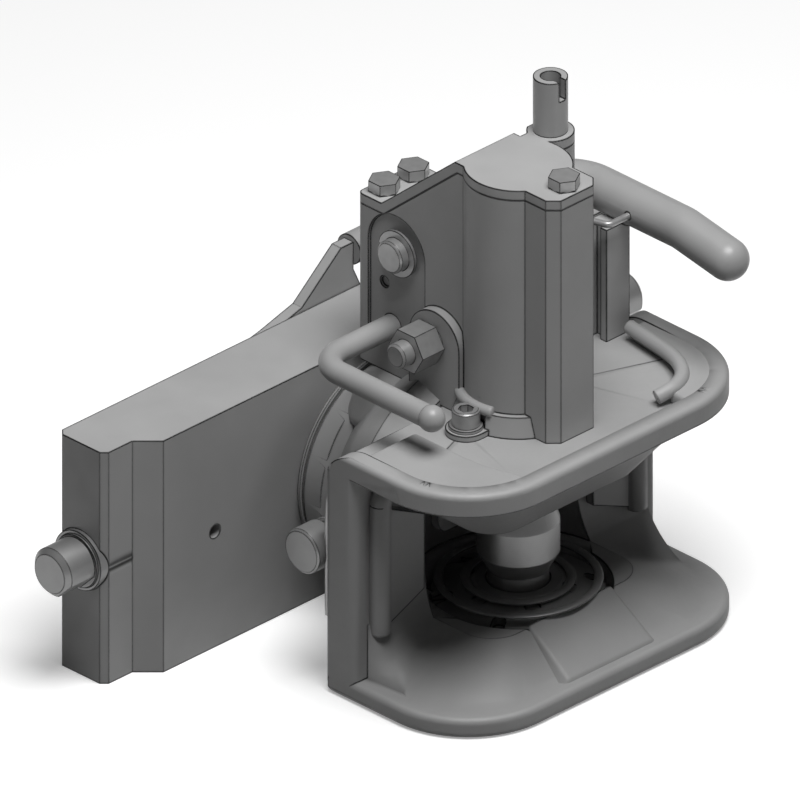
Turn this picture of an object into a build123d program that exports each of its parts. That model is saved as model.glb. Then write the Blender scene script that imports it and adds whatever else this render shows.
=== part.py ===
from build123d import *

import os
from math import atan2, cos, degrees, radians, sin, sqrt

# Automatic jaw coupling on a height adjustable guide plate, for a ladder frame 330 mm wide.
# The origin is the coupling centre: the middle of the crowned pin, on its axis.
# +X points away from the tractor, +Y to the right seen from behind the jaw, +Z up.

os.makedirs("parts", exist_ok=True)

# Coupling pin, and its height above the ground face
centre_height = 54.0
pin_radius = 19.0
pin_band = 16.0
pin_cone = 15.0
pin_neck_radius = 14.2
pin_bottom = 13.0
pin_top = 165.0
running_gap = 0.05
clear_gap = 0.4

# Guide plate that slides in the ladder frame
plate_width = 330.0
plate_height = 120.0
plate_thickness = 40.0
plate_front = -90.0
tongue_thickness = 30.0
tongue_depth = 18.0
plate_chamfer = 3.0
plate_hole_radius = 3.4

# Locking pins at both ends of the plate
lock_radius = 12.0
lock_shank_radius = 13.0
lock_nose_start = 3.0
lock_reach = 20.0
lock_length = 90.0
lock_stud_radius = 4.0
lock_stud_inset = 61.0
lock_travel = 20.0
bush_wall = 1.8
bush_length = 28.0
lock_spring_wire = 1.6
lock_spring_turns = 5

# Cam plate behind the guide plate, pulled up by its handle
cam_thickness = 6.0
cam_lift = 25.0
cam_margin = 14.0
cam_screw_y = 62.0
cam_screw_height = 82.0
cam_shoulder = 34.0
cam_arch = 38.0
handle_tube_radius = 7.5
handle_tube_start = 25.0
handle_tube_end = 92.0
handle_rise = 18.0

# Swivel between the guide plate and the jaw
swivel_radius = 25.0
flange_radius = 52.0
ring_thickness = 3.0
swivel_thread_radius = 17.0
swivel_nut_flats = 50.0
swivel_nut_height = 16.0
swivel_washer_radius = 31.0

# Jaw casting
jaw_half_width = 97.0
rim_width = 9.0
plateau_front = 33.0
plateau_half = 50.0
jaw_front = 65.0
jaw_corner = 46.0
jaw_back = -25.0
wall_thickness = 14.0
lower_rim = 10.0
plateau_height = 28.0
upper_face = 82.0
upper_rim_low = 115.0
lip_top = 126.0
deck = 119.0
throat_depth = 50.0

# Seat in the lower jaw
seat_radius = 40.0
seat_pocket_gap = 3.0
seat_floor = 15.0
seat_hub_radius = 19.5
seat_top = 31.0

# Mechanism housing, which is one casting with the jaw
barrel_radius = 25.0
collar_radius = 30.5
bore_radius = 21.0
case_half_width = 19.0
case_back = -84.0
case_ledge = 200.0
case_top = 240.0
slope_start = -67.0
slope_end = -20.0
case_wall = 6.5
column_front = 37.8
column_half = 15.4
lobe_x = -12.3
lobe_y = 32.9
lobe_radius = 11.0
cover_thickness = 5.0

# Lever shaft, hand lever and latch handle
shaft_x = -57.0
shaft_z = 184.0
shaft_radius = 8.0
arm_reach = 66.0
arm_half_angle = 31.0
arm_width = 12.0
arm_tip_radius = 6.0
lever_y = 88.0
lever_bend = 21.0
lever_end = 46.0
lever_radius = 10.0
latch_x = -63.0
latch_z = 143.4
latch_radius = 5.5
latch_out = 66.0
latch_forward = 10.6
latch_bend = 15.0

# Cross bolt
bolt_x = -33.0
bolt_z = 150.0
bolt_radius = 6.0
bolt_flats = 19.0
nut_height = 15.0
pad_thickness = 5.0

# Screws, washers and small pieces
screw_radius = 4.0
screw_offset = 33.5
washer_thickness = 1.6
tube_radius = 8.0
tube_height = 28.0
wing_thickness = 5.0
trigger_low = 56.0
post_inner = 70.5
post_outer = 85.3
knob_z = 68.0
knob_radius = 11.0
knob_end = 100.0


def level(height):
    """Height above the ground face, as a Z of this frame."""
    return height - centre_height


plate_back = plate_front - plate_thickness
tongue_front = plate_back + tongue_thickness
step = plate_front - tongue_front
half_plate = plate_width / 2
lock_x = plate_back + tongue_thickness / 2
lock_z = level(plate_height / 2)
handle_height = plate_height + handle_rise
seat_pocket = seat_radius + seat_pocket_gap
lock_stud_y = half_plate - lock_stud_inset
lock_inner = half_plate + lock_reach - lock_length
lock_bore_end = lock_inner - lock_travel - 22.0
cam_back = plate_back - clear_gap - cam_thickness
cam_half_width = lock_stud_y + cam_margin
jaw_flange_face = plate_front + ring_thickness + clear_gap
inner_wall = jaw_back + wall_thickness
trigger_x = jaw_back
trigger_z = level(upper_face - 6)

# Guide plate
with BuildPart() as guide_plate:
    with BuildSketch(Plane.XY.offset(level(0))):
        with BuildLine():
            Polyline(
                (plate_back, 0),
                (plate_front, 0),
                (plate_front, half_plate - tongue_depth - step),
                (tongue_front, half_plate - tongue_depth),
                (tongue_front, half_plate - plate_chamfer),
                (tongue_front - plate_chamfer, half_plate),
                (plate_back + plate_chamfer, half_plate),
                (plate_back, half_plate - plate_chamfer),
                close=True,
            )
        make_face()
    extrude(amount=plate_height)
    mirror(about=Plane.XZ)
    # Bore for the swivel shaft
    with BuildSketch(Plane.YZ.offset(plate_back)):
        with Locations((0, lock_z)):
            Circle(swivel_radius + running_gap)
    extrude(amount=plate_thickness, mode=Mode.SUBTRACT)
    # Locking pin bores, each wider where its bush sits
    for side in (-1, 1):
        with BuildSketch(Plane.XZ.offset(-side * half_plate)):
            with Locations((lock_x, lock_z)):
                Circle(lock_shank_radius + running_gap)
        extrude(amount=side * (half_plate - lock_bore_end), mode=Mode.SUBTRACT)
        with BuildSketch(Plane.XZ.offset(-side * half_plate)):
            with Locations((lock_x, lock_z)):
                Circle(lock_shank_radius + bush_wall)
        extrude(amount=side * bush_length, mode=Mode.SUBTRACT)
        # Slot in the back face for the pin's stud
        with BuildSketch(Plane.YZ.offset(plate_back)):
            with Locations((side * (lock_stud_y - lock_travel / 2), lock_z)):
                SlotCenterToCenter(lock_travel, 2 * (lock_stud_radius + clear_gap))
        extrude(amount=lock_x - plate_back, mode=Mode.SUBTRACT)
        # Tapped holes for the screws that hold the cam plate
        with BuildSketch(Plane.YZ.offset(plate_back)):
            with Locations((side * cam_screw_y, level(cam_screw_height))):
                Circle(4)
        extrude(amount=16, mode=Mode.SUBTRACT)
    # Threaded hole in the front face
    with BuildSketch(Plane.YZ.offset(plate_front)):
        with Locations((-lock_stud_y, lock_z)):
            Circle(plate_hole_radius)
    extrude(amount=lock_x - plate_front, mode=Mode.SUBTRACT)
guide_plate.part.label = "guide_plate"
export_step(guide_plate.part, "parts/guide_plate.step")

# Locking pin, with a chamfered nose and a flat that stops it turning
with BuildPart() as lock_pin_right:
    with BuildSketch(Plane.XZ.offset(-(half_plate + lock_reach))):
        with Locations((lock_x, lock_z)):
            Circle(lock_radius)
    extrude(amount=lock_reach - lock_nose_start)
    chamfer(lock_pin_right.edges().filter_by(GeomType.CIRCLE).sort_by(Axis.Y)[-1], 2.5)
    with BuildSketch(Plane.XZ.offset(-(half_plate + lock_nose_start))):
        with Locations((lock_x, lock_z)):
            Circle(lock_shank_radius)
    extrude(amount=lock_length - lock_reach + lock_nose_start)
    with BuildSketch(Plane.XZ.offset(-(half_plate + lock_reach))):
        with Locations(Location((lock_x, lock_z, 0), (0, 0, -45))):
            with Locations((lock_radius + 8.5, 0)):
                Rectangle(20, 30)
    extrude(amount=lock_reach - lock_nose_start, mode=Mode.SUBTRACT)
    # Tapped hole for the stud
    with BuildSketch(Plane.YZ.offset(lock_x - lock_shank_radius)):
        with Locations((lock_stud_y, lock_z)):
            Circle(lock_stud_radius)
    extrude(amount=lock_shank_radius, mode=Mode.SUBTRACT)
lock_pin_right.part.label = "lock_pin_right"
export_step(lock_pin_right.part, "parts/lock_pin_right.step")

with BuildPart() as lock_pin_left:
    add(mirror(lock_pin_right.part, about=Plane.XZ))
lock_pin_left.part.label = "lock_pin_left"
export_step(lock_pin_left.part, "parts/lock_pin_left.step")

# Stud that carries the pin's motion to the cam plate
with BuildPart() as lock_stud_right:
    with BuildSketch(Plane.YZ.offset(cam_back - 6)):
        with Locations((lock_stud_y, lock_z)):
            Circle(lock_stud_radius)
    extrude(amount=lock_x - cam_back + 6)
    with BuildSketch(Plane.YZ.offset(cam_back - 6)):
        with Locations((lock_stud_y, lock_z)):
            RegularPolygon(7.5, 6)
    extrude(amount=5.5)
lock_stud_right.part.label = "lock_stud_right"
export_step(lock_stud_right.part, "parts/lock_stud_right.step")

with BuildPart() as lock_stud_left:
    add(mirror(lock_stud_right.part, about=Plane.XZ))
lock_stud_left.part.label = "lock_stud_left"
export_step(lock_stud_left.part, "parts/lock_stud_left.step")

# Bushes in both ends of the plate
with BuildPart() as lock_bushes:
    for side in (-1, 1):
        with BuildSketch(Plane.XZ.offset(-side * half_plate)):
            with Locations((lock_x, lock_z)):
                Circle(lock_shank_radius + bush_wall)
                Circle(lock_shank_radius + running_gap, mode=Mode.SUBTRACT)
        extrude(amount=side * bush_length)
        with BuildSketch(Plane.XZ.offset(-side * half_plate)):
            with Locations((lock_x, lock_z)):
                Circle(lock_shank_radius + bush_wall)
                Circle(lock_shank_radius + running_gap, mode=Mode.SUBTRACT)
        extrude(amount=-side * 2.0)
lock_bushes.part.label = "lock_bushes"
export_step(lock_bushes.part, "parts/lock_bushes.step")

# Springs behind the locking pins, drawn pressed together, as they are with the pins drawn in
spring_outer = lock_radius - 1.2
spring_length = lock_inner - lock_bore_end - lock_travel - 1
spring_pitch = spring_length / lock_spring_turns
with BuildPart() as lock_spring_right:
    with BuildSketch(Plane.XY.offset(lock_z)):
        for turn in range(lock_spring_turns):
            spring_y = lock_inner - 0.3 - turn * spring_pitch
            with BuildLine():
                Polyline(
                    (lock_x + spring_outer - 2 * lock_spring_wire, spring_y),
                    (lock_x + spring_outer - lock_spring_wire, spring_y),
                    (lock_x + spring_outer, spring_y - spring_pitch / 2),
                    (lock_x + spring_outer - lock_spring_wire, spring_y - spring_pitch),
                    (lock_x + spring_outer - 2 * lock_spring_wire, spring_y - spring_pitch),
                    close=True,
                )
            make_face()
    revolve(axis=Axis((lock_x, 0, lock_z), (0, 1, 0)))
lock_spring_right.part.label = "lock_spring_right"
export_step(lock_spring_right.part, "parts/lock_spring_right.step")

with BuildPart() as lock_spring_left:
    add(mirror(lock_spring_right.part, about=Plane.XZ))
lock_spring_left.part.label = "lock_spring_left"
export_step(lock_spring_left.part, "parts/lock_spring_left.step")

# Cam plate with two slanted slots: lifting it draws both locking pins in
slot_run = sqrt(lock_travel**2 + cam_lift**2)
slot_slope = degrees(atan2(cam_lift, lock_travel))
with BuildPart() as cam_plate:
    with BuildSketch(Plane.YZ.offset(cam_back)):
        with BuildLine():
            Polyline(
                (-cam_arch, level(22)),
                (-cam_half_width, level(22)),
                (-cam_half_width, level(cam_screw_height - 8)),
                (-cam_screw_y - 8, level(cam_screw_height + 26)),
                (-30, level(cam_screw_height + cam_shoulder)),
                (handle_tube_start - 33, level(handle_height - 16)),
                (handle_tube_start - 8, level(handle_height + 5)),
                (handle_tube_start, level(handle_height + 5)),
                (handle_tube_start, level(handle_height - 9)),
                (handle_tube_start + 6, level(cam_screw_height + cam_shoulder)),
                (cam_screw_y + 8, level(cam_screw_height + 26)),
                (cam_half_width, level(cam_screw_height - 8)),
                (cam_half_width, level(22)),
                (cam_arch, level(22)),
                (cam_arch, level(60)),
            )
            ThreePointArc((cam_arch, level(60)), (0, level(60) + cam_arch), (-cam_arch, level(60)))
            Line((-cam_arch, level(60)), (-cam_arch, level(22)))
        make_face()
        for side in (-1, 1):
            # The slot starts at the stud and falls towards the middle
            middle_y = side * (lock_stud_y - lock_travel / 2)
            with Locations(Location((middle_y, lock_z - cam_lift / 2, 0), (0, 0, side * slot_slope))):
                SlotCenterToCenter(slot_run, 2 * (lock_stud_radius + clear_gap), mode=Mode.SUBTRACT)
            # Guide slot for its screw
            screw_slot_z = level(cam_screw_height) - cam_lift / 2
            with Locations(Location((side * cam_screw_y, screw_slot_z, 0), (0, 0, 90))):
                SlotCenterToCenter(cam_lift, 2 * (4 + clear_gap), mode=Mode.SUBTRACT)
    extrude(amount=cam_thickness)
    outer_corners = (
        cam_plate.edges()
        .filter_by(Axis.X)
        .filter_by_position(Axis.Z, level(21), level(cam_screw_height - 7))
        .group_by(Axis.Y)
    )
    fillet(outer_corners[0] + outer_corners[-1], 10)
cam_plate.part.label = "cam_plate"
export_step(cam_plate.part, "parts/cam_plate.step")

# Screws that hold the cam plate
with BuildPart() as cam_screws:
    for side in (-1, 1):
        with BuildSketch(Plane.YZ.offset(plate_back)):
            with Locations((side * cam_screw_y, level(cam_screw_height))):
                Circle(4)
        extrude(amount=14)
        with BuildSketch(Plane.YZ.offset(plate_back)):
            with Locations((side * cam_screw_y, level(cam_screw_height))):
                Circle(4)
        extrude(amount=-(cam_thickness + 2 * clear_gap))
        with BuildSketch(Plane.YZ.offset(cam_back - clear_gap)):
            with Locations((side * cam_screw_y, level(cam_screw_height))):
                Circle(9)
        extrude(amount=-1.6)
        with BuildSketch(Plane.YZ.offset(cam_back - clear_gap - 1.6)):
            with Locations((side * cam_screw_y, level(cam_screw_height))):
                RegularPolygon(7.5, 6)
        extrude(amount=-5.3)
cam_screws.part.label = "cam_screws"
export_step(cam_screws.part, "parts/cam_screws.step")

# Handle tube welded to the cam plate
with BuildPart() as release_handle:
    with BuildSketch(Plane.XZ.offset(-handle_tube_end)):
        with Locations((cam_back + cam_thickness / 2, level(handle_height))):
            Circle(handle_tube_radius)
    extrude(amount=handle_tube_end - handle_tube_start - 0.1)
    chamfer(release_handle.edges().filter_by(GeomType.CIRCLE).sort_by(Axis.Y)[-1], handle_tube_radius / 3)
release_handle.part.label = "release_handle"
export_step(release_handle.part, "parts/release_handle.step")

# Wear ring between the guide plate and the jaw's flange
with BuildPart() as swivel_ring:
    with BuildSketch(Plane.YZ.offset(plate_front)):
        with Locations((0, lock_z)):
            Circle(flange_radius)
            Circle(swivel_radius + 1, mode=Mode.SUBTRACT)
    extrude(amount=ring_thickness)
    chamfer(swivel_ring.edges().filter_by(GeomType.CIRCLE).sort_by(SortBy.RADIUS)[-2:], 0.8)
swivel_ring.part.label = "swivel_ring"
export_step(swivel_ring.part, "parts/swivel_ring.step")


def lip_outline(front, half, corner):
    """Plan of a lip: square at the back, with two round corners at the front."""
    with BuildSketch(mode=Mode.PRIVATE) as lip:
        with Locations(((jaw_back + front) / 2, 0)):
            Rectangle(front - jaw_back, 2 * half)
        fillet(lip.vertices().group_by(Axis.X)[-1], corner)
    return lip.sketch


def rim_roll(pieces, radius):
    """The upper and lower edges of a slab, rounded."""
    levels = pieces.edges().group_by(Axis.Z)
    fillet(levels[0] + levels[-1], radius)


inner_front = jaw_front - rim_width
inner_half = jaw_half_width - rim_width
inner_corner = jaw_corner - rim_width

# Jaw casting: two flared lips on a back wall, with the swivel neck behind
with BuildPart() as jaw:
    with BuildSketch(Plane.XY.offset(level(0))):
        add(lip_outline(jaw_front, jaw_half_width, jaw_corner))
    extrude(amount=lower_rim)
    rim_roll(jaw, 3)
    # The upper lip's slab, with its dished deck
    with BuildSketch(Plane.XY.offset(level(upper_rim_low))):
        add(lip_outline(jaw_front, jaw_half_width, jaw_corner))
    extrude(amount=lip_top - upper_rim_low)
    fillet(jaw.edges().group_by(Axis.Z)[-1], 3)
    with BuildSketch(Plane.XY.offset(level(deck))):
        add(lip_outline(inner_front, inner_half, inner_corner))
    extrude(amount=lip_top - deck, mode=Mode.SUBTRACT)
    # Flare of the lower lip up to its plateau
    with BuildSketch(Plane.XY.offset(level(lower_rim))):
        add(lip_outline(inner_front, inner_half, inner_corner))
    with BuildSketch(Plane.XY.offset(level(plateau_height))):
        add(lip_outline(plateau_front, plateau_half, plateau_front / 2))
    loft(ruled=True)
    # Flare of the upper lip down to its face
    with BuildSketch(Plane.XY.offset(level(upper_face))):
        add(lip_outline(plateau_front, plateau_half, plateau_front / 2))
    with BuildSketch(Plane.XY.offset(level(upper_rim_low))):
        add(lip_outline(inner_front, inner_half, inner_corner))
    loft(ruled=True)
    # Back wall with a bead down each side
    with BuildSketch(Plane.XY.offset(level(lower_rim / 2))):
        with Locations((jaw_back + wall_thickness / 2, 0)):
            Rectangle(wall_thickness, 2 * inner_half + 4)
        with Locations(
            (jaw_back + wall_thickness / 2, inner_half + 2),
            (jaw_back + wall_thickness / 2, -inner_half - 2),
        ):
            RectangleRounded(wall_thickness + 5, 2 * (rim_width - 2), 4)
    extrude(amount=deck - lower_rim / 2)
    # Cove between the lower lip and the wall
    with BuildSketch(Plane.XZ.offset(inner_half)):
        with BuildLine():
            Line((jaw_back + 2, level(lower_rim)), (jaw_back + 2, level(plateau_height + 24)))
            Line((jaw_back + 2, level(plateau_height + 24)), (inner_wall, level(plateau_height + 24)))
            RadiusArc(
                (inner_wall, level(plateau_height + 24)),
                (inner_wall + 28, level(lower_rim)),
                -46,
            )
            Line((inner_wall + 28, level(lower_rim)), (jaw_back + 2, level(lower_rim)))
        make_face()
    extrude(amount=-2 * inner_half)
    # Neck and flange of the swivel
    with BuildSketch(Plane.XZ):
        with BuildLine():
            Polyline(
                (jaw_flange_face, lock_z),
                (jaw_flange_face, lock_z + flange_radius - 1.5),
                (jaw_flange_face + 1.5, lock_z + flange_radius),
                (jaw_flange_face + 12, lock_z + flange_radius),
                (jaw_flange_face + 16, lock_z + flange_radius - 5),
                (jaw_back + 1, lock_z + flange_radius + 6),
                (jaw_back + 1, lock_z),
                close=True,
            )
        make_face()
    revolve(axis=Axis((0, 0, lock_z), (1, 0, 0)))
    # Throat for the drawbar eye
    with BuildSketch(Plane.XY.offset(level(plateau_height))):
        Circle(throat_depth)
    extrude(amount=upper_face - plateau_height, mode=Mode.SUBTRACT)
    # Bore for the coupling pin
    with BuildSketch(Plane.XY.offset(level(upper_face - 1))):
        Circle(bore_radius)
    extrude(amount=lip_top - upper_face + 2, mode=Mode.SUBTRACT)
    # Pocket for the seat, and room below the pin's tip
    with BuildSketch(Plane.XY.offset(level(seat_floor))):
        Circle(seat_pocket)
    extrude(amount=plateau_height - seat_floor + 40, mode=Mode.SUBTRACT)
    with BuildSketch(Plane.XY.offset(level(pin_bottom - 2))):
        Circle(pin_neck_radius + 2)
    extrude(amount=10, mode=Mode.SUBTRACT)
    # Socket for the swivel shaft
    with BuildSketch(Plane.YZ.offset(jaw_flange_face)):
        with Locations((0, lock_z)):
            Circle(swivel_radius + running_gap)
    extrude(amount=-throat_depth - 12 - jaw_flange_face, mode=Mode.SUBTRACT)
    # Holes for the foot screws
    with BuildSketch(Plane.XY.offset(level(deck))):
        with Locations((0, screw_offset), (0, -screw_offset)):
            Circle(screw_radius + running_gap)
    extrude(amount=-16, mode=Mode.SUBTRACT)
    # Cross hole for the trigger's pin
    with BuildSketch(Plane.XZ.offset(throat_depth + 4)):
        with Locations((trigger_x, trigger_z)):
            Circle(3 + running_gap)
    extrude(amount=-2 * (throat_depth + 4), mode=Mode.SUBTRACT)
    # Hole for the side screw
    with BuildSketch(Plane.XZ.offset(inner_half)):
        with Locations((jaw_back - 14, level(knob_z))):
            Circle(7 + running_gap)
    extrude(amount=-(inner_half - throat_depth - 1), mode=Mode.SUBTRACT)
jaw.part.label = "jaw"
export_step(jaw.part, "parts/jaw.step")

# Swivel shaft, through the guide plate and fixed in the neck
shaft_back = plate_back - ring_thickness - swivel_nut_height - 4
with BuildPart() as swivel_shaft:
    with BuildSketch(Plane.YZ.offset(plate_back)):
        with Locations((0, lock_z)):
            Circle(swivel_radius)
    extrude(amount=-throat_depth - 12.2 - plate_back)
    with BuildSketch(Plane.YZ.offset(shaft_back)):
        with Locations((0, lock_z)):
            Circle(swivel_thread_radius)
    extrude(amount=plate_back - shaft_back)
    chamfer(swivel_shaft.edges().filter_by(GeomType.CIRCLE).sort_by(Axis.X)[0], 2)
swivel_shaft.part.label = "swivel_shaft"
export_step(swivel_shaft.part, "parts/swivel_shaft.step")

with BuildPart() as swivel_washer:
    with BuildSketch(Plane.YZ.offset(plate_back - 0.3)):
        with Locations((0, lock_z)):
            Circle(swivel_washer_radius)
            Circle(swivel_thread_radius + running_gap, mode=Mode.SUBTRACT)
    extrude(amount=0.3 - ring_thickness)
swivel_washer.part.label = "swivel_washer"
export_step(swivel_washer.part, "parts/swivel_washer.step")

# Nut of the swivel, chamfered at its outer face
with BuildPart() as swivel_nut:
    with BuildSketch(Plane.YZ.offset(plate_back - ring_thickness)):
        with Locations((0, lock_z)):
            RegularPolygon(swivel_nut_flats / 2, 6, major_radius=False)
            Circle(swivel_thread_radius + running_gap, mode=Mode.SUBTRACT)
    extrude(amount=-swivel_nut_height)
swivel_nut.part.label = "swivel_nut"
export_step(swivel_nut.part, "parts/swivel_nut.step")

# Seat in the lower jaw, with radial grooves
with BuildPart() as seat:
    with BuildSketch(Plane.XZ):
        with BuildLine():
            Polyline(
                (pin_neck_radius + clear_gap, level(seat_floor)),
                (seat_radius, level(seat_floor)),
                (seat_radius, level(seat_floor + 9)),
                (seat_hub_radius, level(seat_top)),
                (pin_neck_radius + clear_gap, level(seat_top)),
                close=True,
            )
        make_face()
    revolve(axis=Axis.Z)
    with BuildSketch(Plane.XY.offset(level(seat_top - 2.5))):
        with PolarLocations(seat_radius - 8, 6, start_angle=30):
            SlotOverall(22, 7)
    extrude(amount=6, mode=Mode.SUBTRACT)
    with BuildSketch(Plane.XY.offset(level(seat_floor + 7.5))):
        with PolarLocations(seat_radius - 3, 6):
            SlotOverall(12, 6)
    extrude(amount=10, mode=Mode.SUBTRACT)
seat.part.label = "seat"
export_step(seat.part, "parts/seat.step")

# Centring wings welded to the back wall inside the jaw
with BuildPart() as centring_wings:
    for side in (-1, 1):
        with BuildSketch(Plane.YZ.offset(inner_wall)):
            with BuildLine():
                Polyline(
                    (side * 54, level(44)),
                    (side * 82, level(32)),
                    (side * 82, level(upper_rim_low - 18)),
                    (side * 54, level(upper_face + 1)),
                    close=True,
                )
            make_face()
        extrude(amount=wing_thickness)
        with BuildSketch(Plane.XY.offset(level(30))):
            with Locations((inner_wall + wing_thickness - 0.5, side * 82)):
                Circle(wing_thickness)
        extrude(amount=upper_rim_low - 46)
    with BuildSketch(Plane.XY.offset(level(28))):
        with Locations((inner_wall - 15, 0)):
            Rectangle(30, 200)
    extrude(amount=90, mode=Mode.SUBTRACT)
    split(bisect_by=Plane.XY.offset(level(34)), keep=Keep.TOP)
centring_wings.part = centring_wings.part - jaw.part
centring_wings.part.label = "centring_wings"
export_step(centring_wings.part, "parts/centring_wings.step")

# Trigger in the throat, which the drawbar eye pushes back, and its pin
with BuildPart() as trigger:
    with BuildSketch(Plane.XZ.offset(30)):
        with Locations((trigger_x, trigger_z)):
            Circle(5.5)
        with Locations((trigger_x + 1.5, (trigger_z + level(trigger_low)) / 2)):
            Rectangle(5, trigger_z - level(trigger_low))
        with Locations((trigger_x, trigger_z)):
            Circle(3 + running_gap, mode=Mode.SUBTRACT)
    extrude(amount=-60)
    fillet(trigger.edges().filter_by(Axis.X).group_by(Axis.Z)[0], 6)
trigger.part.label = "trigger"
export_step(trigger.part, "parts/trigger.step")

with BuildPart() as trigger_pin:
    with BuildSketch(Plane.XZ.offset(throat_depth + 3.5)):
        with Locations((trigger_x, trigger_z)):
            Circle(3)
    extrude(amount=-2 * (throat_depth + 3.5))
trigger_pin.part.label = "trigger_pin"
export_step(trigger_pin.part, "parts/trigger_pin.step")

# Crowned coupling pin, with a slot in its head for the lift arm
arm_gap = 1.0
head_low = 125.0
slot_z = shaft_z - arm_reach * sin(radians(arm_half_angle))
with BuildPart() as coupling_pin:
    with BuildSketch(Plane.XZ):
        with BuildLine():
            Polyline(
                (0, level(pin_bottom)),
                (pin_neck_radius - 3, level(pin_bottom)),
                (pin_neck_radius - 0.1, level(pin_bottom + 3)),
                (pin_neck_radius - 0.1, level(37)),
                (pin_radius, -pin_band / 2),
                (pin_radius, pin_band / 2),
                (pin_neck_radius, pin_band / 2 + pin_cone),
                (pin_neck_radius, level(head_low)),
                (bore_radius - running_gap, level(head_low + 4)),
                (bore_radius - running_gap, level(pin_top)),
                (0, level(pin_top)),
                close=True,
            )
        make_face()
    revolve(axis=Axis.Z)
    # Slot for the arm, open towards the lever shaft
    slot_front = shaft_x + arm_reach + arm_tip_radius + arm_gap
    with BuildSketch(Plane.XZ.offset(arm_width / 2 + arm_gap / 2)):
        with BuildLine():
            Polyline(
                (slot_front, level(slot_z) - arm_tip_radius - arm_gap),
                (slot_front, level(slot_z) + arm_tip_radius + arm_gap),
                (slot_front - 7, level(slot_z) + arm_tip_radius + 1.2 * arm_gap),
                (0, level(slot_z) + arm_tip_radius + 4 * arm_gap),
                (-bore_radius - 1, level(slot_z) + bore_radius + arm_gap),
                (-bore_radius - 1, level(slot_z) - bore_radius - arm_gap),
                (0, level(slot_z) - arm_tip_radius - 4 * arm_gap),
                (slot_front - 7, level(slot_z) - arm_tip_radius - 1.2 * arm_gap),
                close=True,
            )
        make_face()
    extrude(amount=-arm_width - arm_gap, mode=Mode.SUBTRACT)
coupling_pin.part.label = "coupling_pin"
export_step(coupling_pin.part, "parts/coupling_pin.step")

case_depth = 10 * bore_radius
tube_top = case_top + cover_thickness + tube_height


def cover_line(rise):
    """Side view of the case's sloped top, moved out by the given amount."""
    slope = atan2(case_top - case_ledge, slope_end - slope_start)
    shift = rise * (1 - cos(slope)) / sin(slope)
    return [
        (case_back - 5, level(case_ledge + rise)),
        (slope_start - shift, level(case_ledge + rise)),
        (slope_end - shift, level(case_top + rise)),
        (column_front + 5, level(case_top + rise)),
    ]


def case_plan():
    """Plan of the case: flat sides, round barrel, front column and side lobe."""
    with BuildSketch(mode=Mode.PRIVATE) as plan:
        with Locations((case_back / 2, 0)):
            Rectangle(-case_back, 2 * case_half_width)
        Circle(barrel_radius)
        with Locations((column_front / 2, 0)):
            Rectangle(column_front, 2 * column_half)
        chamfer(plan.vertices().group_by(Axis.X)[-1], 5)
        fillet(plan.vertices().group_by(Axis.X)[0], 3)
        with Locations((lobe_x, lobe_y)):
            Circle(lobe_radius)
        with Locations((lobe_x, lobe_y / 2 + 6)):
            Rectangle(lobe_radius, lobe_y)
    return plan.sketch


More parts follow.
